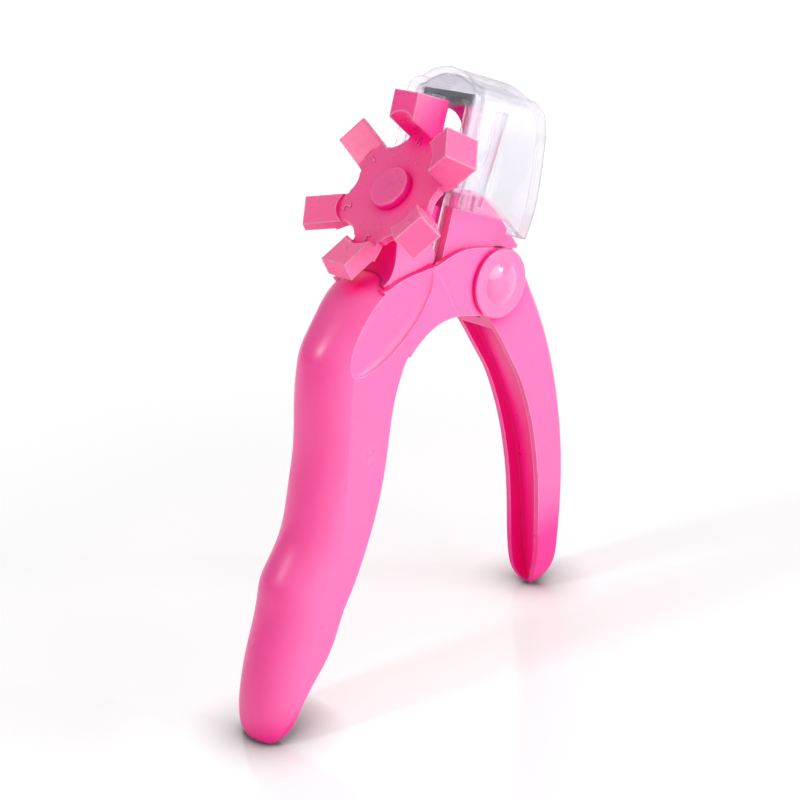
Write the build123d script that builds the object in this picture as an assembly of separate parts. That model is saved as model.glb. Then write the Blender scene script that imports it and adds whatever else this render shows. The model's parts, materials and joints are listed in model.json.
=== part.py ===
from build123d import *
import os
from math import acos, atan2, cos, degrees, hypot, radians, sin, tan

os.makedirs("parts", exist_ok=True)

# Hand pliers with a six-step stop wheel, a sliding blade and a clear cover.
# X runs from the thick handle to the thin one, Y across the tool, Z up.
# Shapes are drawn about the pivot and moved to the floor frame on export.

# ---- driving dimensions, mm ----
pivot_x = 32.6             # pivot centre from the middle of the footprint
pivot_z = 102.8            # pivot centre above the floor
clevis_half = 10.1         # half width over the thick handle's flat sides
cheek_inset = 0.1          # cheeks stand in from the grip's flat sides
cheek = 1.7                # thickness of each cheek beside the pivot
handle_wall = 2.2          # wall of the thick handle's channel
thin_half_top = 7.65       # half width of the thin handle at the pivot
thin_half_foot = 6.3       # and where its foot starts to narrow
thin_wall = 1.7            # side wall of the thin handle
eye_r = 8.8                # round eye of the thin handle
eye_room = 0.8             # between that eye and the head block
pin_r = 3.0                # pivot shaft radius
cap_r = 9.5                # broad pin cap
cap_t = 1.3
dome_r = 5.74              # shallow dome in the cap's middle
dome_h = 1.5
run_fit = 0.05             # radial clearance of a turning or sliding fit
side_fit = 0.1             # clearance between flat faces that turn together
lean = 23.0                # lean of the head, degrees from upright
block_fit = 0.2            # clearance between the head block and each cheek
plate_face = -23.3         # front face of the plate stack, along w
plate_t = 0.8              # guide plate and back plate
blade_t = 0.6              # sliding blade
plate_half_low = 6.2
plate_margin = 1.4         # steel left beside the feed hole
shoulder_drop = 4.6        # from the feed hole down to where the plates widen
plate_low = -7.0
plate_top = 46.0
feed_u = 33.6              # centre of the round feed hole, along u
feed_r = 8.0
stroke_deg = 18.0          # squeeze of the thin handle
tongue_t = 2.2             # tail tongue that drives the blade
tongue_half = 1.9
tail_tip = 23.2            # reach of the tongue from the pivot
wheel_x, wheel_z = -27.2, 32.0   # centre of the knob's top face
wheel_rise = 45.4          # wheel axis above the horizontal
knob_r = 5.65
knob_h = 2.1
star_t = 2.1
arm_half = 4.4
arm_reach = 26.44          # outer edge of every arm
notch_r = 5.2              # round notch between two arms
pad_long = 9.04            # from the arm's end to the middle of the pad's hub-facing wall
pad_root = 3.0             # the pad starts this far inside that wall
pad_scoop_r = 6.2          # that wall is hollowed to this radius
pad_flare = 22.4           # pads lean back so the working one faces the plates
pad_back = -0.45           # outer back edge, along the wheel axis
pad_depths = (2.1, 2.9, 5.0, 7.3, 9.2, 11.2)
axle_r = 2.0
bracket_half = 5.4
apron_low, apron_high = 8.2, 4.2   # half widths of the bracket's skirt, at its foot and top
boss_gap = 0.8             # room behind the wheel for washer and detent leaf
cover_room = 4.7           # from the plates' edge to the cover's outer face
cover_wall = 1.6
cover_front = -25.1
crown_room = 6.0           # from the plates' top to the cover's crown
crown_rise = 8.0           # from the cover's straight sides to its crown
cover_shoulder = 4.6
block_gap = 0.3            # the cover rests this far above the block's slope
window_side = 0.3          # the window is wider than the feed hole by this, each side
window_drop = 1.1          # and reaches below it by this
window_top = 1.6           # from the plates' top down to the window's
tab_r = 2.7
wire_r = 0.6               # return spring wire
coil_r = 4.3
coil_turns = 4.0

# ---- sizes that follow ----
pad_wall_r = arm_reach - pad_long
cheek_half = clevis_half - cheek_inset
slot_half = cheek_half - cheek
head_half = slot_half - block_fit
plate_half_top = feed_r + plate_margin
plate_shoulder = feed_u - feed_r - shoulder_drop
cover_half = plate_half_top + cover_room
cover_crown = plate_top + crown_room
cover_side_top = cover_crown - crown_rise
window_half = feed_r + window_side
window_low = feed_u - feed_r - window_drop
window_high = plate_top - window_top

# ---- frames ----
SIDE = Plane.XZ
HEAD = Plane(origin=(0, 0, 0), x_dir=(cos(radians(lean)), 0, -sin(radians(lean))), z_dir=(0, -1, 0))
ACROSS = Plane(origin=(0, 0, 0), x_dir=(0, 0, 1), z_dir=(-1, 0, 0))
WHEEL = Plane(
    origin=(wheel_x, 0, wheel_z),
    x_dir=(sin(radians(wheel_rise)), 0, cos(radians(wheel_rise))),
    z_dir=(-cos(radians(wheel_rise)), 0, sin(radians(wheel_rise))),
)
through = 20.0             # half length of a cutter that passes right through a piece
beyond = 60.0              # and of one that runs past the whole tool
UPWARD = (Align.CENTER, Align.CENTER, Align.MIN)
DOWNWARD = (Align.CENTER, Align.CENTER, Align.MAX)


def slab(points, half, frame=SIDE):
    """A straight-edged side profile with the same width both ways."""
    return extrude(frame * make_face(Polyline(*points, close=True)), half, both=True)


def outline(*runs):
    """A closed face from runs of points: each run is one smooth curve, joined by lines."""
    edges = []
    for i, run in enumerate(runs):
        edges.append(Spline(*run) if len(run) > 2 else Line(*run))
        after = runs[(i + 1) % len(runs)][0]
        if hypot(after[0] - run[-1][0], after[1] - run[-1][1]) > 1e-6:
            edges.append(Line(run[-1], after))
    return make_face(edges)


def cross_pin(x, z, r, half, frame=SIDE):
    """A round bar across the tool."""
    return frame * (Pos(x, z, 0) * Cylinder(r, 2 * half))


# ---- thick handle ----
# Each row: inner edge x z, back x z, half width, depth of the rounded back.
stations = (
    (-88.2, -102.7, -89.8, -102.6, 3.6, 0.7),
    (-86.4, -102.1, -90.9, -101.6, 6.4, 2.2),
    (-83.8, -99.7, -91.5, -98.6, 8.4, 4.6),
    (-79.8, -94.2, -90.7, -91.6, 9.7, 7.9),
    (-73.2, -87.0, -87.4, -81.4, 10.0, 9.6),
    (-66.3, -78.5, -82.6, -70.6, clevis_half, 10.0),
    (-57.2, -64.6, -75.3, -56.3, clevis_half, 9.8),
    (-50.3, -52.5, -68.9, -45.6, clevis_half, 8.8),
    (-45.3, -40.8, -65.7, -35.9, clevis_half, 7.8),
    (-42.2, -30.5, -63.2, -26.8, clevis_half, 7.0),
    (-39.6, -22.0, -61.9, -18.0, clevis_half, 7.3),
    (-36.8, -15.8, -60.2, -9.9, clevis_half, 7.6),
    (-33.2, -10.5, -56.9, -2.4, clevis_half, 7.0),
    (-29.4, -7.8, -51.0, 3.7, clevis_half, 5.0),
    (-25.5, -5.9, -44.5, 8.8, clevis_half, 3.7),
    (-22.0, -5.0, -36.6, 11.5, clevis_half, 2.8),
    (-18.6, -4.8, -29.4, 11.7, clevis_half, 1.7),
    (-15.0, -5.1, -22.6, 11.9, clevis_half, 0.9),
)
hollow_rows = stations[4:15]


def d_section(x0, z0, x1, z1, half, depth, corner):
    """Flat sides, a rounded back and eased inner corners, in the plane through both points."""
    length = hypot(x1 - x0, z1 - z0)
    along = Vector((x1 - x0) / length, 0, (z1 - z0) / length)
    plane = Plane(origin=(x0, 0, z0), x_dir=along, z_dir=along.cross(Vector(0, 1, 0)))
    k = corner * (1 - cos(radians(45)))
    curve = [
        Line((0, corner - half), (0, half - corner)),
        ThreePointArc((0, half - corner), (k, half - k), (corner, half)),
        Line((corner, half), (length - depth, half)),
        ThreePointArc((length - depth, half), (length, 0), (length - depth, -half)),
        Line((length - depth, -half), (corner, -half)),
        ThreePointArc((corner, -half), (k, k - half), (0, corner - half)),
    ]
    return plane * make_face(curve)


def pulled_in(row, front, wall):
    """A station moved in from the back and sides by the wall, and out past the inner edge."""
    x0, z0, x1, z1, half, depth = row
    length = hypot(x1 - x0, z1 - z0)
    ax, az = (x1 - x0) / length, (z1 - z0) / length
    inside = (x0 - ax * front, z0 - az * front)
    back = (x1 - ax * wall, z1 - az * wall)
    return (*inside, *back, half - wall, depth - 0.6 * wall)


def eased(row):
    """Radius of a station's inner corners, smaller where the station is small."""
    return min(1.4, row[4] / 4, hypot(row[0] - row[2], row[1] - row[3]) / 8)


grip = loft([d_section(*row, eased(row)) for row in stations])
hollow = loft([d_section(*pulled_in(row, 3.0, handle_wall), 0.5) for row in hollow_rows])

cheek_top = (
    (-40.0, 9.4), (-35.0, 9.5), (-28.0, 10.1), (-21.9, 10.9), (-13.5, 12.4), (-5.1, 11.3), (3.0, 8.6),
)
cheek_low = ((-6.7, -7.4), (-13.8, -5.2), (-16.5, -4.7), (-24.0, -5.3), (-29.4, -7.8), (-33.2, -10.5))
cheek_face = outline(cheek_top, cheek_low)
boss_inset = 0.4           # the cheeks' round boss is this much smaller than the cap
cheeks = extrude(SIDE * cheek_face, cheek_half, both=True) + cross_pin(0, 0, cap_r - boss_inset, cheek_half)

slot_front = plate_face - 0.9
slot_pts = ((slot_front, -14.0), (slot_front, 12.0), (20.0, 20.0), (30.0, -6.0), (10.0, -20.0))
slot = slab(slot_pts, slot_half, HEAD)
under_pts = ((-44.0, -1.0), (-41.0, 4.6), (-34.0, 7.2), (-23.0, 7.8), (-23.0, -8.0), (-30.0, -16.0))
under_floor = slab(under_pts, clevis_half - handle_wall)

scoop_x, scoop_z, scoop_tilt = -38.5, 1.2, 33.0
scoop_long, scoop_wide, scoop_deep = 18.0, 7.2, 1.7
scoop_lift = 0.1           # its middle stands this far off the flat side
scoop = scale(Sphere(1.0), by=(scoop_long, scoop_wide, scoop_deep))

handle_a = grip + cheeks
handle_a -= hollow
handle_a -= under_floor
handle_a -= slot
for side in (1, -1):
    scoop_middle = Pos(scoop_x, scoop_z, side * (clevis_half + scoop_lift))
    handle_a -= SIDE * (scoop_middle * (Rot(0, 0, scoop_tilt) * scoop))
handle_a -= cross_pin(0, 0, pin_r, through)

# Cross ribs in the channel, one at each named station.
rib_t = 1.6
rib_middle = 0.7           # share of the way from the inner edge to the back
rib_span = 0.6             # share of that way that a rib fills
for index in (5, 7, 9):
    x0, z0, x1, z1 = stations[index][:4]
    length = hypot(x1 - x0, z1 - z0)
    ax, az = (x1 - x0) / length, (z1 - z0) / length
    centre = (x0 + ax * length * rib_middle, 0, z0 + az * length * rib_middle)
    plane = Plane(origin=centre, x_dir=(ax, 0, az), z_dir=(-az, 0, ax))
    web = plane * Box(length * rib_span, 2 * clevis_half, rib_t)
    handle_a += web & grip

# ---- head block and its cross pins ----
back_face = plate_face + 2 * plate_t + blade_t + 2 * run_fit
dowel_r = 1.0
dowels = ((-12.6, 6.6), (-17.0, -6.4))
dowel_half = cheek_half - cheek / 2
block_pts = (
    (back_face, -8.4), (back_face, 22.2), (-16.7, 22.4), (-9.5, 20.8), (-3.5, 17.5),
    (6.5, 10.7), (6.2, 9.9), (2.4, 9.4), (0.0, 0.0), (-8.0, -5.0), (-12.0, -8.4),
)
tail_room = 0.4            # on each side of the tongue, in the plates' forks
tail_slot_half = tongue_half + tail_room
bay_top, bay_half = 5.2, 3.7       # room for the thin handle's tail inside the block
head_block = slab(block_pts, head_half, HEAD)
head_block -= cross_pin(0, 0, eye_r + eye_room, through)
head_block -= slab(((-30.0, -12.0), (-30.0, bay_top), (0.0, bay_top), (0.0, -12.0)), bay_half, HEAD)
for w, u in dowels:
    head_block -= cross_pin(w, u, dowel_r, through, HEAD)
    handle_a -= cross_pin(w, u, dowel_r, dowel_half, HEAD)

# ---- thin handle ----
outer_edge = (
    (10.0, 6.2), (11.4, 3.8), (13.8, -1.6), (15.9, -6.9), (18.3, -13.0), (21.4, -22.5), (24.5, -37.0),
    (26.0, -50.8), (26.1, -67.1), (24.9, -79.3), (23.1, -90.2), (21.2, -97.2), (17.8, -102.3),
)
inner_edge = (
    (14.2, -101.4), (13.2, -98.0), (13.6, -91.3), (14.1, -84.9), (14.7, -77.2), (15.1, -66.8),
    (14.7, -57.2), (13.4, -46.9), (11.6, -38.9), (9.1, -31.1), (5.8, -24.3), (2.4, -17.3), (-0.6, -12.0),
)
web_edge = (
    (1.6, -12.6), (4.2, -14.9), (8.0, -22.6), (10.9, -29.3), (13.5, -36.4), (15.9, -44.4), (17.8, -53.0),
    (18.8, -62.1), (19.1, -72.1), (19.1, -82.0), (18.8, -90.0), (18.1, -95.6), (16.6, -101.6),
)
foot_run = (outer_edge[-1], (16.0, -pivot_z), inner_edge[0])
eye_join = ((-3.0, -8.2), (0.0, 0.0), (2.5, 8.3))
eye_runs = ((inner_edge[-1], eye_join[0]), eye_join[:2], eye_join[1:])
body_face = outline(outer_edge, foot_run, inner_edge, *eye_runs)
foot_long = 17.0           # height of the thin handle's rounded tip
tip_wall = 1.3             # floor of the channel above the tip
back_ease = 2.2            # eased edges along the thin handle's back


def taper(half_top, half_foot, drop, tip):
    """Head-on limits of the thin handle: sides that draw in slightly, and an elliptical tip if any."""
    bend = drop + tip
    side = ((half_top, 14.0), (half_top, -10.0), (half_foot, bend))
    edges = [Line((-half_top, 14.0), side[0]), Line(*side[:2]), Line(*side[1:]),
             Line((-half_foot, bend), (-half_top, -10.0)), Line((-half_top, -10.0), (-half_top, 14.0))]
    if tip:
        edges.append(EllipticalCenterArc((0, bend), half_foot, tip, start_angle=180, arc_size=180))
    else:
        edges.append(Line((-half_foot, bend), side[2]))
    return extrude(Plane.YZ * make_face(edges), beyond, both=True)


thin_body = extrude(SIDE * body_face, 12, both=True) & taper(thin_half_top, thin_half_foot, -pivot_z, 0)


def along_back(edge):
    """The two long edges of the thin handle's back."""
    return edge.length > 70 and edge.center().X > 18 and abs(edge.center().Y) > 3


thin_body = fillet(thin_body.edges().filter_by(along_back), back_ease)
thin_body &= taper(thin_half_top, thin_half_foot, -pivot_z, foot_long)
inner_top = thin_half_top - thin_wall
inner_foot = thin_half_foot - thin_wall
taper_in = taper(inner_top, inner_foot, tip_wall - pivot_z, foot_long - tip_wall)
channel_face = outline(web_edge, (web_edge[-1], (2.0, web_edge[-1][1])), ((-9.0, -40.0), web_edge[0]))
channel = extrude(SIDE * channel_face, 12, both=True) & taper_in

tail_deg = 180 - lean + stroke_deg / 2
tail_side = ((5, 3.0), (11, 1.9), (16, tongue_t / 2), (tail_tip, tongue_t / 2))
other_side = [(reach, -half) for reach, half in reversed(tail_side)]
tail_face = make_face(Polyline(*tail_side, *other_side, close=True))
tail = SIDE * (Rot(0, 0, tail_deg) * extrude(tail_face, tongue_half, both=True))
coil_gap = 0.2             # between two turns, and beside the outer ones
nest_room = 0.9            # round the coil
coil_half = coil_turns * (2 * wire_r + coil_gap) / 2
nest_half = coil_half + wire_r + coil_gap
nest = cross_pin(0, 0, coil_r + wire_r + nest_room, nest_half)
handle_b = thin_body + cross_pin(0, 0, eye_r, thin_half_top) + tail
handle_b -= channel
handle_b -= nest
handle_b -= cross_pin(0, 0, pin_r + run_fit, through)
leg_room = wire_r + 0.3
leg_slots = ((-coil_half, (-13.0, 0.0), (-11.0, 11.0)), (coil_half, (3.0, 7.0), (-17.0, -3.0)))
for y, x_span, z_span in leg_slots:
    cut = Box(x_span[1] - x_span[0], 2 * leg_room, z_span[1] - z_span[0])
    handle_b -= Pos(sum(x_span) / 2, y, sum(z_span) / 2) * cut

# ---- pivot pin, caps and washers ----
cap_bore = 0.6 * cap_t     # the shaft's end sits this deep in each cap
pivot_shaft = cross_pin(0, 0, pin_r, cheek_half + cap_bore)
cap = Cylinder(cap_r, cap_t, align=UPWARD)
cap_ease = 0.4
cap = fillet(cap.edges().group_by(Axis.Z)[-1], cap_ease)
dome_ball = (dome_r ** 2 + dome_h ** 2) / (2 * dome_h)
dome = Pos(0, 0, cap_t + dome_h - dome_ball) * Sphere(dome_ball)
dome &= Pos(0, 0, cap_t / 2) * Cylinder(dome_r, 10, align=UPWARD)
cap = cap + dome
cap -= Cylinder(pin_r, 2 * cap_bore)
cap_front = Pos(0, -cheek_half, 0) * (SIDE * cap)
cap_rear = mirror(cap_front, Plane.XZ)
washer_r = eye_r - 1.0
washer_t = slot_half - thin_half_top - 2 * run_fit
washer = Cylinder(washer_r, washer_t) - Cylinder(pin_r + run_fit, through)
washer_front = Pos(0, -(thin_half_top + run_fit + washer_t / 2), 0) * (SIDE * washer)
washer_rear = mirror(washer_front, Plane.XZ)

# ---- return spring ----
leg_b_end = (4.0, -13.4)
leg_a_end = (-24.2, -3.0)


def tangent_deg(point, sign):
    """Angle on the coil where a straight leg leaves for the given point."""
    return degrees(atan2(point[1], point[0])) + sign * degrees(acos(coil_r / hypot(*point)))


start_deg = tangent_deg(leg_b_end, 1)
end_deg = tangent_deg(leg_a_end, -1) + 360
turns = 3 + (end_deg - start_deg) % 360 / 360
coil = Pos(0, 0, -coil_half) * (Rot(0, 0, start_deg) * Helix(2 * coil_half / turns, 2 * coil_half, coil_r))
first, last = coil @ 0, coil @ 1
leg_b = Line((leg_b_end[0], leg_b_end[1], first.Z), first)
leg_a = Line(last, (leg_a_end[0], leg_a_end[1], last.Z))
spring_path = Wire([leg_b, coil.edges()[0], leg_a])
wire_face = Plane(origin=leg_b @ 0, z_dir=leg_b % 0) * Circle(wire_r)
return_spring = SIDE * sweep(wire_face, spring_path)

# ---- plates and sliding blade ----


def plate_outline(half_low, half_top, low, high):
    """A narrow foot that widens at the shoulder."""
    right = ((half_low, low), (half_low, plate_shoulder - 2), (half_top, plate_shoulder), (half_top, high))
    return make_face(Polyline(*right, *[(-t, u) for t, u in reversed(right)], close=True))


def sheet(face, front, thickness):
    """A flat face across the head, from its front plane back by the thickness."""
    return Pos(front + thickness, 0, 0) * extrude(ACROSS * face, thickness)


drive_w = plate_face + plate_t + run_fit + blade_t / 2
drive_u = drive_w * tan(radians(stroke_deg / 2))
fork = Pos(0, plate_low) * Rectangle(2 * tail_slot_half, 2 * (bay_top - plate_low))
whole_plate = plate_outline(plate_half_low, plate_half_top, plate_low, plate_top)
plate = whole_plate - fork - Pos(0, feed_u) * Circle(feed_r)
guide_plate = HEAD * sheet(plate, plate_face, plate_t)
blade_room = blade_t + 2 * run_fit
back_plate = HEAD * sheet(plate, plate_face + plate_t + blade_room, plate_t)
strip = 0.8                # side strips of the spacer
spacer_bridge = 2.0        # the spacer's strip across the top
inner_low = plate_half_low - strip
inner_high = plate_half_top - strip
spacer_face = whole_plate
spacer_face -= plate_outline(inner_low, inner_high, plate_low - through, plate_top - spacer_bridge)
spacer = HEAD * sheet(spacer_face, plate_face + plate_t, blade_room)
blade_foot = 2.6           # blade left below the middle of its window
blade_low = drive_u - blade_foot
blade_edge = feed_u - feed_r * 0.75
blade_lip = 0.1            # the edge's arc is this much larger than the feed hole
waist_u, waist_long = 13, 18
window_wide, window_tall = 0.3, 0.32   # play of the tongue in the blade's window
blade_half_low = inner_low - run_fit
blade_half_top = inner_high - run_fit
blade_face = plate_outline(blade_half_low, blade_half_top, blade_low, blade_edge)
blade_face -= Pos(0, feed_u) * Circle(feed_r + blade_lip)
waist = Rectangle(through, waist_long) - Rectangle(2 * blade_half_low, waist_long)
blade_face -= Pos(0, waist_u) * waist
blade_face -= Pos(0, drive_u) * Rectangle(2 * tongue_half + window_wide, tongue_t + window_tall)
blade = HEAD * sheet(blade_face, plate_face + plate_t + run_fit, blade_t)

# ---- wheel bracket, axle, knob, washer and detent leaf ----
hub_back = -knob_h - star_t
boss_face = hub_back - boss_gap
axle_long = 13.1
axle_in_knob = 1.2
knob_ease = 0.35
knob = WHEEL * (Pos(0, 0, -knob_h + run_fit) * Cylinder(knob_r, knob_h - run_fit, align=UPWARD))
knob_rings = knob.edges().filter_by(GeomType.CIRCLE).sort_by(Axis((0, 0, 0), WHEEL.z_dir))
knob = fillet(knob_rings[-1:], knob_ease)
axle = WHEEL * (Pos(0, 0, axle_in_knob - knob_h) * Cylinder(axle_r, axle_long, align=DOWNWARD))
knob -= axle
wedge_pts = ((plate_face, 5.6), (-36.5, 10.4), (-30.9, 24.0), (-26.4, 16.6), (plate_face, 16.6))
wedge = slab(wedge_pts, bracket_half, HEAD)
apron_curve = ((-38.6, 10.2), (-34.6, 12.6), (-31.8, 17.0), (-29.4, 24.0))
apron_face = outline(apron_curve, (apron_curve[-1], (-20.0, 18.0)), ((-19.0, 6.0), (-38.0, 6.0)))
apron_side = ((apron_low, 5.0), (apron_low, 10.0), (apron_high, 25.0))
apron = extrude(SIDE * apron_face, through, both=True)
apron &= slab((*[(-half, z) for half, z in apron_side], *reversed(apron_side)), beyond, Plane.YZ)
apron -= slab(((plate_face, -20.0), (plate_face, 30.0), (0.0, 30.0), (0.0, -20.0)), through, HEAD)
wedge += apron
wedge = wedge - grip - cheeks
boss_cut = WHEEL * (Pos(0, 0, boss_face) * Box(beyond, beyond, beyond, align=UPWARD))
wheel_bracket = wedge - boss_cut - axle
leaf_t = 0.3
leaf_side = 4.0
leaf_at = 5.8              # from the axle to the leaf's middle
bump_at = 6.4              # and to the bump that clicks into the wheel
leaf = WHEEL * (Pos(-leaf_at, 0, boss_face) * Box(leaf_side, leaf_side, leaf_t, align=UPWARD))
bump_h = boss_gap - leaf_t - run_fit
leaf += WHEEL * (Pos(-bump_at, 0, boss_face + leaf_t) * Cone(1.0, 0.5, bump_h, align=UPWARD))
wave_r = 3.4
wave_t = boss_gap - 2 * run_fit
wave_washer = WHEEL * (Pos(0, 0, boss_face + run_fit) * Cylinder(wave_r, wave_t, align=UPWARD))
wave_washer -= WHEEL * Cylinder(axle_r + run_fit, beyond)

# ---- stepped stop wheel ----
notch_far = 2 * (notch_r + arm_half)
arm_flat = 0.72 * arm_reach        # the arms' flat plate; their pads go on from it
arm_count = len(pad_depths)
arm_turn = 360 / arm_count
star = Circle(notch_far * 0.78)
for k in range(arm_count):
    star += Rot(0, 0, arm_turn * k) * (Pos(arm_flat / 2, 0) * Rectangle(arm_flat, 2 * arm_half))
for k in range(arm_count):
    between = Rot(0, 0, arm_turn * (k + 0.5))
    star -= between * (Pos(notch_far, 0) * Circle(notch_r))
    star -= between * (Pos(notch_far + notch_r, 0) * Rectangle(2 * notch_r, 2 * notch_r))
stop_wheel = extrude(Pos(0, 0, hub_back) * star, star_t)
flare_s, flare_c, flare_t = sin(radians(pad_flare)), cos(radians(pad_flare)), tan(radians(pad_flare))
bend_r = arm_reach - (pad_back - hub_back) / flare_t
hub_bite = pad_wall_r - pad_root
scoop_at = pad_wall_r - pad_scoop_r
bite = Pos(scoop_at, 0, -knob_h) * Cylinder(pad_scoop_r, 30, align=UPWARD)
bite += Pos(scoop_at, 0, -knob_h) * Box(20, 20, 30, align=(Align.MAX, Align.CENTER, Align.MIN))
for number, depth in enumerate(pad_depths, 1):
    front_r, front_a = arm_reach - depth * flare_s, pad_back + depth * flare_c
    inner_a = front_a - (front_r - hub_bite) * flare_t
    pad = slab(((hub_bite, hub_back), (bend_r, hub_back), (arm_reach, pad_back), (front_r, front_a),
                (hub_bite, inner_a), (hub_bite, min(inner_a, -knob_h) - 0.01)), arm_half)
    stop_wheel += Rot(0, 0, arm_turn * number) * (pad - bite)
stop_wheel -= Cylinder(axle_r + run_fit, beyond)
stop_wheel = WHEEL * stop_wheel

# ---- clear cover ----
roof = cover_crown + 0.4   # the side profile runs just past the arch's crown
outer_run = (
    (-8.5, roof), (-4.6, cover_crown - 2.0), (-1.4, cover_crown - 6.0), (0.5, cover_crown - 10.2),
    (2.05, 34.3), (3.0, 27.0), (3.2, 19.7), (2.0, 12.8),
)
w_in = cover_front + cover_wall
outer_side = outline(((cover_front, 17.0), (cover_front, roof)), outer_run, ((1.2, 12.7), (-6.0, 16.4)))
inner_run = (
    (-9.0, roof - cover_wall), (-5.9, cover_crown - 3.4), (-3.1, cover_crown - 6.9),
    (-1.3, cover_crown - 10.7), (0.25, 34.1), (1.2, 27.0), (1.4, 19.7), (0.3, 12.9),
)
inner_side = outline(((w_in, 5.0), (w_in, roof - cover_wall)), inner_run, ((0.0, 5.0), (-5.0, 5.0)))


def arch(half, side_top, crown, shoulder):
    """The head-on outline of the cover: straight sides, round shoulders and a crowned roof."""
    rise = crown - side_top
    k = shoulder * (1 - cos(radians(45)))
    inset, level = shoulder, side_top + shoulder
    edges = [
        Line((half, 0), (half, side_top)),
        Line((-half, side_top), (-half, 0)),
        Line((-half, 0), (half, 0)),
    ]
    for side in (1, -1):
        start, mid, end = (half, side_top), (half - k, level - k), (half - inset, level)
        edges.append(ThreePointArc(*[(side * t, u) for t, u in (start, mid, end)]))
    edges.append(ThreePointArc((inset - half, level), (0, side_top + rise), (half - inset, level)))
    return make_face(edges)


def shell(side_face, inset):
    """The cover's side profile met by its head-on arch, drawn in by the inset."""
    front = arch(cover_half - inset, cover_side_top, cover_crown - inset, cover_shoulder - inset)
    return extrude(side_face, through, both=True) & extrude(ACROSS * front, beyond, both=True)


cover = shell(outer_side, 0) - shell(inner_side, cover_wall)
window = RectangleRounded(2 * window_half, window_high - window_low, 2.6)
window = Pos(0, (window_low + window_high) / 2) * window - Pos(0, window_high) * Circle(tab_r)
cover -= Pos(cover_front + 3, 0, 0) * extrude(ACROSS * window, 4, both=True)
rooted = 0.2               # the rails and grip ribs run into the cover's wall by this
rail_end = cover_half - cover_wall + rooted
STANDING = (Align.CENTER, Align.MIN, Align.MIN)
rail = Box(1.4, 25.0, rail_end - plate_half_top, align=STANDING)
rail = Pos(-16.4, 18.4, 0) * (Rot(0, 0, -5.5) * rail)
grip_rib = Pos(-19.0, 17.2, 0) * Box(1.6, 3.6, rail_end - head_half - side_fit, align=STANDING)
cover += Pos(0, 0, plate_half_top) * rail
cover += Pos(0, 0, head_half + side_fit) * grip_rib
cover += Pos(0, 0, -rail_end) * rail
cover += Pos(0, 0, -rail_end) * grip_rib
block_top = [(w, u + block_gap) for w, u in block_pts[1:7]]
over_front = cover_front - 2
over_pts = [(over_front, block_top[0][1]), *block_top, (6.5, -20.0), (over_front, -20.0)]
over_block = slab(over_pts, head_half + side_fit, Plane.XY)
clear_cover = HEAD * (cover - over_block)

# ---- export ----
pieces = {
    "handle_a": handle_a,
    "handle_b": handle_b,
    "head_block": head_block,
    "pivot_shaft": pivot_shaft,
    "pivot_cap_front": cap_front,
    "pivot_cap_rear": cap_rear,
    "washer_front": washer_front,
    "washer_rear": washer_rear,
    "return_spring": return_spring,
    "guide_plate": guide_plate,
    "punch_blade": blade,
    "plate_spacer": spacer,
    "back_plate": back_plate,
    "wheel_bracket": wheel_bracket,
    "wheel_axle": axle,
    "wheel_knob": knob,
    "wave_washer": wave_washer,
    "detent_leaf": leaf,
    "stop_wheel": stop_wheel,
    "clear_cover": clear_cover,
    "block_dowel_upper": cross_pin(*dowels[0], dowel_r, dowel_half, HEAD),
    "block_dowel_lower": cross_pin(*dowels[1], dowel_r, dowel_half, HEAD),
}
for name, shape in pieces.items():
    export_step(Pos(pivot_x, 0, pivot_z) * shape, f"parts/{name}.step")
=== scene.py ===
import json
from math import cos, pi, sin

import bpy
from mathutils import Matrix, Vector


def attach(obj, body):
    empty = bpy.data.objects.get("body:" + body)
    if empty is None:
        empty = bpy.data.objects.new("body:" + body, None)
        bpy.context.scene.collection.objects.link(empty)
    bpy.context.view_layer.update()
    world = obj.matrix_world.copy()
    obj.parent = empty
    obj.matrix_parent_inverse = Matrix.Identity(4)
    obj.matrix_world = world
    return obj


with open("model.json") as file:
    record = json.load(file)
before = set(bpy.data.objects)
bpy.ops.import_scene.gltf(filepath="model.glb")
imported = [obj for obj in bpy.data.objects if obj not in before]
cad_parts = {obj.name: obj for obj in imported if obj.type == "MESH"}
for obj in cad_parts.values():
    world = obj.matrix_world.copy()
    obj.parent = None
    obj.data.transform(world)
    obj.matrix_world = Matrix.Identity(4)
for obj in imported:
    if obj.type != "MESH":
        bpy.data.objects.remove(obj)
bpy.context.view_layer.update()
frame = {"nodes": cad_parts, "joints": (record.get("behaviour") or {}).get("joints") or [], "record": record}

MM = 0.001
nodes = frame["nodes"]
joints = {j["name"]: j for j in frame["joints"]}
pivot = Vector(joints["squeeze"]["pos_m"])
wheel_centre = Vector(joints["wheel_turn"]["pos_m"])
wheel_axis = Vector(joints["wheel_turn"]["axis"]).normalized()

# noise scales, in cycles for each metre
SLOW_DRIFT = 28
GLOSS_PATCHES = 160
RUB_AND_HIGHLIGHT_NOISE = 420
SPARK_GRAIN = 3800
PLATE_TINT = 60
ROLLING_MARKS = 900
WIRE_TINT = 220
TURNED_LINES = 2400
FLOW_RIPPLE = 90
HAIRLINES = 700
FLOOR_TINT = 3
FLOOR_GLOSS = 40

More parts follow.
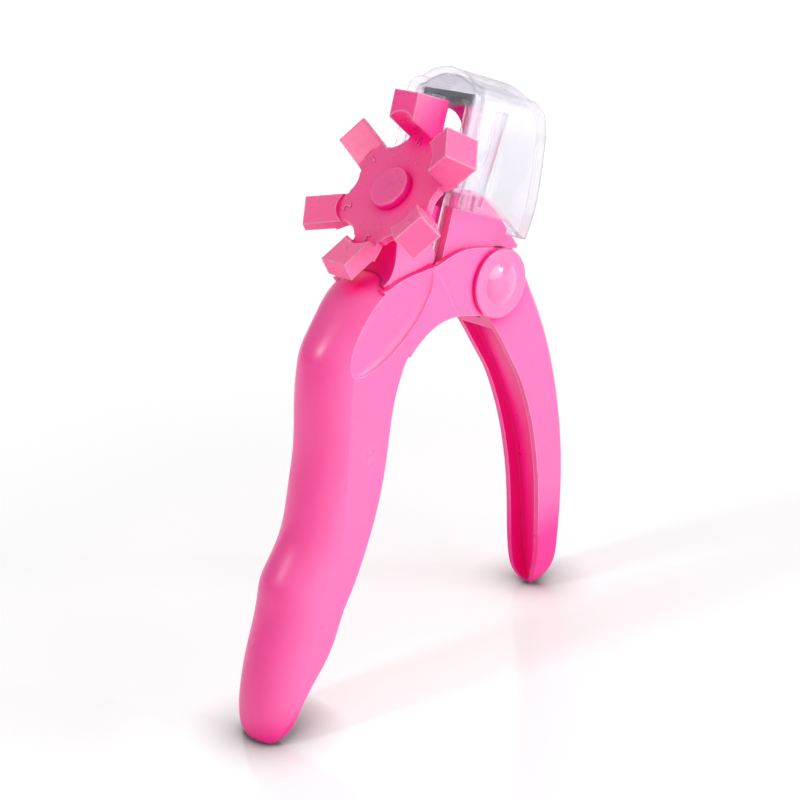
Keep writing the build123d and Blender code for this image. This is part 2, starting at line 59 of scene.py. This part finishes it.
# ranges that values are carried between
UNIT = (0.0, 1.0)
MOST = (0.35, 0.65)            # where nearly all of a noise's values lie
BAND = (0.30, 0.70)            # the wider band that gloss and ripple follow
DRIFT_TONE = (0.94, 1.0)       # how little the slow drift deepens a moulded piece
BACKWARD = (-0.90, -0.30)      # from facing as the thick handle's back does to facing aside
BACK_SHADE_TONE = (0.52, 1.0)        # painted shade: the paleness left to faces that look backward, and to the rest
RUB_AND_HIGHLIGHT_GAPS = (0.40, 0.62)         # the part of a noise that breaks up the pale edges, edge wear and painted highlight alike
RUB_AND_HIGHLIGHT_SHARE = (0.55, 1.0)      # how much of the edge wear and painted highlight is left there and elsewhere
SCRATCHED = (0.60, 0.78)       # the part of a noise that counts as hairlines
HAIRLINE_ROUGH = (0.01, 0.09)  # the roughness between hairlines and in them
EDGE_ON = (0.35, 0.90)         # from facing the eye to nearly edge on
CLEAR_SOLID = (0.30, 0.96)     # how much of the light a clear wall bends, open and at its edges
NEAR_CONTACT = (0.45, 0.98)    # the floor's openness under a piece and clear of it
GLOW_REACH = (0.15, 1.0)       # metres from the middle of the floor
GLOW = (0.28, 0.75)            # the floor's strength at those distances
FLOOR_ROUGH = (0.10, 0.14)

# colours
WHITE = (1, 1, 1, 1)
OPEN = (0.96, 0.150, 0.430)
WHEEL_OPEN = (1.00, 0.165, 0.375)
# painted shade colour for hollows, recesses and backward faces
PAINTED_SHADE_PINK = (1.00, 0.003, 0.270)
# pale edge colour, partly edge wear and partly a painted highlight
RUBBED_AND_HIGHLIGHT = (1.00, 0.740, 0.900)
LILACS = ((0.88, 0.80, 1.0), (0.86, 0.77, 0.98))
LILAC_EDGE_SHADE = (0.46, 0.36, 0.56)
DARK_STEEL = (0.34, 0.34, 0.36)
MID_STEEL = (0.50, 0.50, 0.52)
PALE_STEEL = (0.66, 0.66, 0.68)
TABLE = ((0.80, 0.80, 0.80), (0.78, 0.78, 0.78))
CONTACT_SHADE = (0.22, 0.25, 0.25)


# ---- node helpers ----
class Graph:
    """The node tree of a material or world, with short ways to add and join nodes."""

    def __init__(self, owner, shader):
        owner.use_nodes = True
        self.owner = owner
        self.tree = owner.node_tree
        self.shader = self.tree.nodes[shader]
        self.coords = self.add("ShaderNodeTexCoord")
        self.place = self.coords.outputs["Object"]

    def add(self, kind, **settings):
        """A new node with its settings made."""
        node = self.tree.nodes.new(kind)
        for key, value in settings.items():
            setattr(node, key, value)
        return node

    def join(self, start, end):
        """A link from an output to an input."""
        self.tree.links.new(start, end)

    def drive(self, socket, source):
        """The shader's socket follows a node's output."""
        self.join(source, self.shader.inputs[socket])

    def hold(self, values):
        """Shader sockets that are the same all over the surface."""
        for socket, value in values.items():
            self.shader.inputs[socket].default_value = value

    def noise(self, scale, detail, stretch=(1, 1, 1)):
        """Noise over object space, drawn out along an axis by the stretch."""
        spread = self.add("ShaderNodeMapping")
        spread.inputs["Scale"].default_value = stretch
        self.join(self.place, spread.inputs["Vector"])
        texture = self.add("ShaderNodeTexNoise")
        texture.inputs["Scale"].default_value = scale
        texture.inputs["Detail"].default_value = detail
        self.join(spread.outputs["Vector"], texture.inputs["Vector"])
        return texture.outputs["Fac"]

    def between(self, value, source, target=UNIT):
        """The value carried from one range to another, held at its ends."""
        node = self.add("ShaderNodeMapRange")
        for side, ends in (("From", source), ("To", target)):
            for end, number in zip(("Min", "Max"), ends):
                node.inputs[f"{side} {end}"].default_value = number
        self.join(value, node.inputs["Value"])
        return node.outputs["Result"]

    def blend(self, share, first, second):
        """One colour going over to another by a share."""
        node = self.add("ShaderNodeMix", data_type="RGBA")
        self.join(share, node.inputs["Factor"])
        for socket, colour in (("A", first), ("B", second)):
            target = next(i for i in node.inputs if i.name == socket and i.type == "RGBA")
            if isinstance(colour, tuple):
                target.default_value = (*colour, 1)
            else:
                self.join(colour, target)
        return next(o for o in node.outputs if o.type == "RGBA")

    def math(self, operation, first, second):
        """One operation on two outputs."""
        node = self.add("ShaderNodeMath", operation=operation)
        self.join(first, node.inputs[0])
        self.join(second, node.inputs[1])
        return node.outputs[0]

    def product(self, share, *others):
        """Several shares multiplied together."""
        for other in others:
            share = self.math("MULTIPLY", share, other)
        return share

    def dot(self, first, second):
        """How far two directions agree, the second an output or a fixed direction."""
        node = self.add("ShaderNodeVectorMath", operation="DOT_PRODUCT")
        self.join(first, node.inputs[0])
        if isinstance(second, Vector):
            node.inputs[1].default_value = second
        else:
            self.join(second, node.inputs[1])
        return node.outputs["Value"]

    def openness(self, distance, own_only=False):
        """The share of the surroundings that a point sees within a distance."""
        node = self.add("ShaderNodeAmbientOcclusion", samples=16, only_local=own_only)
        node.inputs["Distance"].default_value = distance
        return node.outputs["AO"]

    def rounded(self, radius, turned=(0.97, 0.72)):
        """Normals eased over the edges, and how far each point is turned by that easing.

        Turned gives the agreement with the true normal at which a point starts to count
        as an edge, and the one at which it counts in full.
        """
        bevel = self.add("ShaderNodeBevel", samples=4)
        bevel.inputs["Radius"].default_value = radius
        flat = self.add("ShaderNodeNewGeometry").outputs["Normal"]
        agreement = self.dot(bevel.outputs["Normal"], flat)
        return bevel.outputs["Normal"], self.between(agreement, turned)

    def bump(self, height, depth, strength, normal=None):
        """Fine relief laid over the surface or over eased normals."""
        node = self.add("ShaderNodeBump")
        node.inputs["Distance"].default_value = depth
        node.inputs["Strength"].default_value = strength
        self.join(height, node.inputs["Height"])
        if normal:
            self.join(normal, node.inputs["Normal"])
        return node.outputs["Normal"]


def material_graph(name):
    return Graph(bpy.data.materials.new(name), "Principled BSDF")


# ---- materials ----
def moulded(name, open_colour, rough, coat=0.0, edge_r=0.6 * MM,
            hollow_r=16 * MM, openings=(0.58, 0.90), own_only=False):
    """Satin moulded plastic that lets a little light through.

    Open faces are paler and recesses are painted a deeper rose, a painted shade set by how
    little of the surroundings each point sees, and faces that look backward are painted deeper
    too, a painted shade for the side the light reaches less. Openings gives the openness at
    which a point is fully in painted shade, and the one at which it is fully pale. Slow colour
    drift and a fine spark grain cover the plastic, and its proud edges are painted pale, partly
    edge wear and partly a painted highlight. A piece under the clear cover takes its painted
    shade from its own hollows only.
    """
    g = material_graph(name)
    normal, rim = g.rounded(edge_r)
    drift = g.between(g.noise(SLOW_DRIFT, detail=4), MOST, DRIFT_TONE)
    # painted shade: the less of the surroundings a point sees within hollow_r, the further it goes to the
    # deep rose
    openness = g.between(g.openness(hollow_r, own_only), openings)
    # painted shade: faces that look backward, the side the light reaches less, are painted deeper
    facing = g.add("ShaderNodeSeparateXYZ")
    g.join(g.coords.outputs["Normal"], facing.inputs["Vector"])
    side = g.between(facing.outputs["X"], BACKWARD, BACK_SHADE_TONE)
    body = g.blend(g.product(openness, drift, side), PAINTED_SHADE_PINK, open_colour)
    # proud edges painted pale: partly edge wear, partly a painted highlight, kept out of the hollows
    scuffs = g.between(g.noise(RUB_AND_HIGHLIGHT_NOISE, detail=6), RUB_AND_HIGHLIGHT_GAPS, RUB_AND_HIGHLIGHT_SHARE)
    g.drive("Base Color", g.blend(g.product(rim, scuffs, openness), body, RUBBED_AND_HIGHLIGHT))
    patches = g.noise(GLOSS_PATCHES, detail=5)
    g.drive("Roughness", g.between(patches, BAND, (rough - 0.05, rough + 0.07)))
    grain = g.noise(SPARK_GRAIN, detail=2)
    g.drive("Normal", g.bump(grain, depth=0.02 * MM, strength=0.3, normal=normal))
    g.hold({
        "IOR": 1.5,
        "Coat Weight": coat,
        "Coat Roughness": 0.04,
        "Subsurface Weight": 0.25,
        "Subsurface Radius": (1.0, 0.18, 0.32),
        "Subsurface Scale": 5 * MM,
    })
    return g.owner


def steel(name, tints, edge, edge_r, drift, lines, rough, depth, strength):
    """Bare metal with a drifting tint, fine lines one way and brighter edges.

    Drift and lines are each the scale and detail of a noise, with its stretch if it has one.
    """
    g = material_graph(name)
    normal, rim = g.rounded(edge_r)
    marks = g.noise(*lines)
    tint = g.blend(g.between(g.noise(*drift), MOST), *tints)
    g.drive("Base Color", g.blend(rim, tint, edge))
    g.drive("Roughness", g.between(marks, BAND, rough))
    g.drive("Normal", g.bump(marks, depth, strength, normal))
    g.hold({"Metallic": 1.0})
    return g.owner


def sheet_steel(name):
    """Polished plate with long faint rolling marks and edges painted brighter."""
    return steel(
        name, tints=((0.80, 0.80, 0.82), (0.70, 0.70, 0.73)), edge=(0.93, 0.93, 0.94),
        edge_r=0.15 * MM, drift=(PLATE_TINT, 3), lines=(ROLLING_MARKS, 4, (1.0, 0.04, 1.0)),
        rough=(0.08, 0.20), depth=0.01 * MM, strength=0.25)


def turned_steel(name, dark, light, rough):
    """Pins, washers and wire: fine drawn or turned lines over darker steel."""
    return steel(
        name, tints=(dark, light), edge=(0.80, 0.80, 0.82),
        edge_r=0.12 * MM, drift=(WIRE_TINT, 4), lines=(TURNED_LINES, 3, (1.0, 0.15, 1.0)),
        rough=(rough - 0.07, rough + 0.09), depth=0.012 * MM, strength=0.4)


def clear_plastic(name):
    """Clear moulded cover: slight flow ripple, hairline scuffs and a trace of lilac.

    Most light goes straight through each face, so the thin walls stay bright, and the rest is
    bent as in thick acrylic. Faces seen edge on and the rims hold more of it and are painted a
    darker lilac grey, a painted shade for the light that thick rims bend away.
    """
    g = material_graph(name)
    ripple = g.noise(FLOW_RIPPLE, detail=2)
    scratches = g.noise(HAIRLINES, detail=8, stretch=(1.0, 1.0, 0.25))
    rim = g.rounded(1.3 * MM, turned=(0.99, 0.78))[1]
    facing = g.add("ShaderNodeLayerWeight")
    facing.inputs["Blend"].default_value = 0.35
    # painted shade: rims and faces seen edge on are painted a darker lilac grey and made more solid
    edge = g.math("MAXIMUM", rim, g.between(facing.outputs["Facing"], EDGE_ON))
    tint = g.blend(g.between(ripple, BAND), *LILACS)
    g.drive("Base Color", g.blend(edge, tint, LILAC_EDGE_SHADE))
    g.drive("Alpha", g.between(edge, UNIT, CLEAR_SOLID))
    g.drive("Roughness", g.between(scratches, SCRATCHED, HAIRLINE_ROUGH))
    g.drive("Normal", g.bump(ripple, depth=0.02 * MM, strength=0.08))
    g.hold({"IOR": 1.49, "Transmission Weight": 1.0})
    return g.owner


SATIN = 0.32
wheel_pink = moulded("pink_wheel", WHEEL_OPEN, rough=0.28, edge_r=0.9 * MM)
cap_pink = moulded("pink_cap", OPEN, rough=0.22, coat=1.0)
finishes = {
    "pink_body": moulded("pink_body", OPEN, SATIN),
    "pink_wheel": wheel_pink,
    "clear_plastic": clear_plastic("clear_plastic"),
    "bright_steel": sheet_steel("bright_steel"),
    "pin_steel": turned_steel("pin_steel", dark=MID_STEEL, light=PALE_STEEL, rough=0.28),
    "spring_steel": turned_steel("spring_steel", dark=DARK_STEEL, light=MID_STEEL, rough=0.24),
}
# head_block and handle_b take painted shade from their own hollows and from the channel
own_finishes = {
    "pivot_cap_front": cap_pink,
    "pivot_cap_rear": cap_pink,
    "head_block": moulded("pink_block", OPEN, SATIN, own_only=True),
    "handle_b": moulded("pink_channel", OPEN, SATIN, hollow_r=34 * MM, openings=(0.80, 0.98)),
}
for part in frame["record"]["subparts"]:
    mesh = nodes[part["node"]].data
    mesh.materials.clear()
    mesh.materials.append(own_finishes.get(part["node"], finishes[part["material_slot"]]))


# ---- raised numbers on the stop wheel ----
number_r = 14.3 * MM       # from the wheel's centre to the middle of each number
face_depth = 2.1 * MM      # the star's face, below the knob's top
number_size = 3.7 * MM
number_rise = 0.22 * MM
number_ease = 0.05 * MM
arms = 6
across = Vector((0, 1, 0))
up = Vector((-wheel_axis.z, 0, wheel_axis.x)).normalized()
if up.z < 0:
    up.negate()


def axes(x, y, z):
    """The turn that carries the world's axes to three others."""
    return Matrix((x, y, z)).transposed().to_4x4()


def raised_number(k):
    """The digit of one arm, its top towards the arm's end."""
    curve = bpy.data.curves.new(f"digit_{k}", "FONT")
    curve.body = str(k)
    curve.size = number_size
    curve.align_x = "CENTER"
    curve.align_y = "CENTER"
    curve.extrude = number_rise
    curve.bevel_depth = number_ease
    curve.bevel_resolution = 2
    text = bpy.data.objects.new(f"digit_source_{k}", curve)
    bpy.context.scene.collection.objects.link(text)
    bpy.context.view_layer.update()
    mesh = bpy.data.meshes.new_from_object(text.evaluated_get(bpy.context.evaluated_depsgraph_get()))
    bpy.data.objects.remove(text)
    digit = bpy.data.objects.new(f"wheel_number_{k}", mesh)
    bpy.context.scene.collection.objects.link(digit)
    turn = 2 * pi * k / arms
    out = up * cos(turn) + across * sin(turn)
    middle = wheel_centre - wheel_axis * face_depth + out * number_r
    digit.matrix_world = Matrix.Translation(middle) @ axes(out.cross(wheel_axis), out, wheel_axis)
    digit.data.materials.append(wheel_pink)
    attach(digit, "wheel")


for number in range(1, arms + 1):
    raised_number(number)


# ---- floor, light and camera ----
def floor(side, contact_r):
    """A pale table that runs out of view, with a faint mirror and its own soft glow.

    It is painted darker and stops glowing close to what stands on it, a painted contact shadow.
    """
    bpy.ops.mesh.primitive_plane_add(size=side, location=(0, 0, 0))
    ground = bpy.context.object
    ground.name = "floor"
    g = material_graph("floor_white")
    clear = g.between(g.openness(contact_r), NEAR_CONTACT)
    paint = g.blend(g.noise(FLOOR_TINT, detail=2), *TABLE)
    reach = g.add("ShaderNodeVectorMath", operation="LENGTH")
    g.join(g.place, reach.inputs[0])
    glow = g.between(reach.outputs["Value"], GLOW_REACH, GLOW)
    g.drive("Base Color", g.blend(clear, CONTACT_SHADE, paint))
    g.drive("Roughness", g.between(g.noise(FLOOR_GLOSS, detail=3), BAND, FLOOR_ROUGH))
    g.drive("Emission Strength", g.product(glow, clear))
    g.hold({"Emission Color": WHITE})
    ground.data.materials.append(g.owner)


def panel(name, towards, distance, width, height, power):
    """A soft white rectangular light, in metres and watts, that faces the pivot from a direction."""
    data = bpy.data.lights.new(name, "AREA")
    data.shape = "RECTANGLE"
    data.size = width
    data.size_y = height
    data.energy = power
    lamp = bpy.data.objects.new(name, data)
    bpy.context.scene.collection.objects.link(lamp)
    lamp.location = pivot + Vector(towards).normalized() * distance
    lamp.rotation_euler = (pivot - lamp.location).to_track_quat("-Z", "Y").to_euler()


def surround(towards, least, most):
    """White light from all round, strongest from one direction, before a plain white backdrop."""
    g = Graph(bpy.data.worlds.new("studio"), "Background")
    agreement = g.dot(g.coords.outputs["Generated"], Vector(towards).normalized())
    strength = g.add("ShaderNodeMix")
    strength.inputs["B"].default_value = 1.0
    g.join(g.add("ShaderNodeLightPath").outputs["Is Camera Ray"], strength.inputs["Factor"])
    g.join(g.between(agreement, (-1.0, 1.0), (least, most)), strength.inputs["A"])
    g.drive("Strength", strength.outputs["Result"])
    g.hold({"Color": WHITE})
    bpy.context.scene.world = g.owner


def camera(lens, offset, back, right):
    """A camera set off from the pivot in mm, with the directions behind it and to its right."""
    data = bpy.data.cameras.new("photo_view")
    data.lens = lens
    data.sensor_width = 36.0
    data.clip_start = 0.01
    data.clip_end = 50.0
    view = bpy.data.objects.new("photo_view", data)
    bpy.context.scene.collection.objects.link(view)
    back = Vector(back).normalized()
    right = Vector(right)
    right = (right - back * right.dot(back)).normalized()
    turn = axes(right, back.cross(right), back)
    view.matrix_world = Matrix.Translation(pivot + Vector(offset) * MM) @ turn
    bpy.context.scene.camera = view


floor(side=12.0, contact_r=16 * MM)
surround(towards=(0.60, -0.70, 0.35), least=0.05, most=1.0)
panel("key", towards=(-1.0, 0.40, 0.80), distance=0.9, width=0.12, height=0.12, power=1.9)
panel("fill", towards=(0.30, -1.0, 0.30), distance=1.0, width=0.7, height=0.5, power=3.7)
panel("spark", towards=(0.60, -0.77, 0.24), distance=0.8, width=0.06, height=0.06, power=0.9)
panel("rim", towards=(0.6, 0.9, 0.9), distance=1.0, width=0.4, height=0.4, power=0.5)
camera(lens=72.08, offset=(-285.2, -296.9, 145.0),
       back=(-0.598, -0.694, 0.401), right=(0.733, -0.676, -0.078))
bpy.context.scene.view_settings.view_transform = "Standard"
